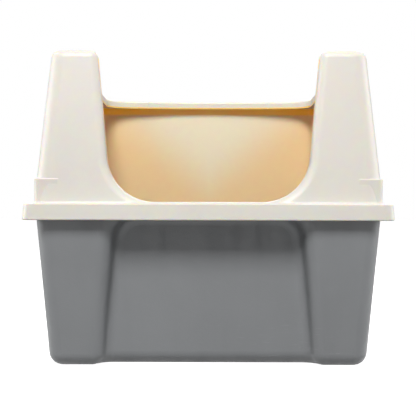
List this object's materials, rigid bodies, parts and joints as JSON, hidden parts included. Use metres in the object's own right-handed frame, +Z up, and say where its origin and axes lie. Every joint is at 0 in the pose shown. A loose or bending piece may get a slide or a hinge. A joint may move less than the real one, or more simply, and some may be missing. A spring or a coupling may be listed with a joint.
{
  "type": "cat litter box with hood",
  "caption": "Litter box for a cat: a deep tray under a high, open-topped hood with a U-shaped entry and side latches.",
  "frame": {"origin": "on the floor under the middle of the box", "axes": "+Z up, the entry faces -Y, +X to the right of someone who faces the entry"},
  "size_m": [0.456, 0.5298, 0.355],
  "materials": {
    "hood_plastic": "satin",
    "tray_plastic": "satin",
    "latch_plastic": "satin"
  },
  "bodies": {
    "tray": {"tray": "tray_plastic"},
    "hood": {"hood": "hood_plastic"},
    "latch_left": {"latch_left": "latch_plastic"},
    "latch_right": {"latch_right": "latch_plastic"}
  },
  "joints": [
    {"name": "hood_lift", "type": "slide", "parent": "tray", "child": "hood", "axis": [0, 0, 1], "range_m": [0, 0.08]},
    {"name": "latch_left_hinge", "type": "hinge", "parent": "hood", "child": "latch_left", "pos_m": [-0.2084, 0, 0.174], "axis": [0, 1, 0], "range_deg": [-30, 60]},
    {"name": "latch_right_hinge", "type": "hinge", "parent": "hood", "child": "latch_right", "pos_m": [0.2084, 0, 0.174], "axis": [0, -1, 0], "range_deg": [-30, 60]}
  ]
}
